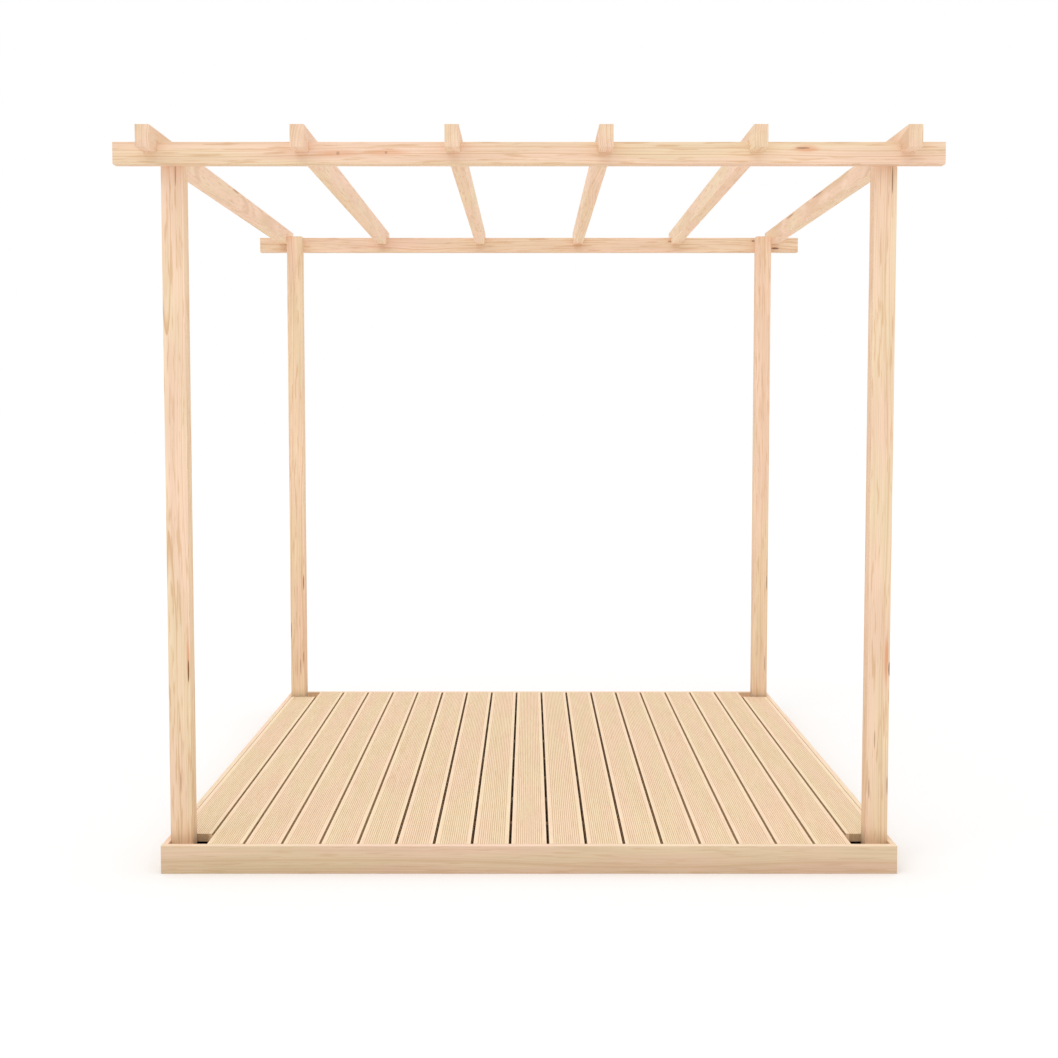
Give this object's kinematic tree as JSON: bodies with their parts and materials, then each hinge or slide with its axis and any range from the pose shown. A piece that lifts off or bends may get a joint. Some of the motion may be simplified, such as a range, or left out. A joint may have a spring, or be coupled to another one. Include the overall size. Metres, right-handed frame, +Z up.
{
  "type": "timber pergola with deck",
  "caption": "Open timber pergola: square posts rise through a ribbed board deck and carry a front and a rear beam, with notched rafters dropped over them.",
  "frame": {"origin": "middle of the deck's underside, where it rests on the ground", "axes": "+Z up; +Y from the front of the deck to the rear, along the boards and rafters; +X to the right of someone who faces the front"},
  "size_m": [2.648, 3.164, 2.396],
  "materials": {
    "frame_timber": "planed softwood, unvarnished",
    "joist_timber": "sawn softwood, unvarnished",
    "deck_timber": "fluted softwood, unvarnished",
    "post_timber": "planed softwood, unvarnished",
    "beam_timber": "planed softwood, unvarnished",
    "rafter_timber": "planed softwood, unvarnished"
  },
  "bodies": {
    "root": {"front_fascia": "frame_timber", "rear_fascia": "frame_timber", "left_fascia": "frame_timber", "right_fascia": "frame_timber", "joist_1": "joist_timber", "joist_2": "joist_timber", "joist_3": "joist_timber", "joist_4": "joist_timber", "joist_5": "joist_timber", "joist_6": "joist_timber", "joist_7": "joist_timber", "joist_8": "joist_timber", "joist_9": "joist_timber", "deck_board_01": "deck_timber", "deck_board_02": "deck_timber", "deck_board_03": "deck_timber", "deck_board_04": "deck_timber", "deck_board_05": "deck_timber", "deck_board_06": "deck_timber", "deck_board_07": "deck_timber", "deck_board_08": "deck_timber", "deck_board_09": "deck_timber", "deck_board_10": "deck_timber", "deck_board_11": "deck_timber", "deck_board_12": "deck_timber", "deck_board_13": "deck_timber", "deck_board_14": "deck_timber", "deck_board_15": "deck_timber", "deck_board_16": "deck_timber", "deck_board_17": "deck_timber", "deck_board_18": "deck_timber", "deck_board_19": "deck_timber", "front_left_post": "post_timber", "front_right_post": "post_timber", "rear_left_post": "post_timber", "rear_right_post": "post_timber", "front_beam": "beam_timber", "rear_beam": "beam_timber", "rafter_1": "rafter_timber", "rafter_2": "rafter_timber", "rafter_3": "rafter_timber", "rafter_4": "rafter_timber", "rafter_5": "rafter_timber", "rafter_6": "rafter_timber"}
  },
  "joints": []
}
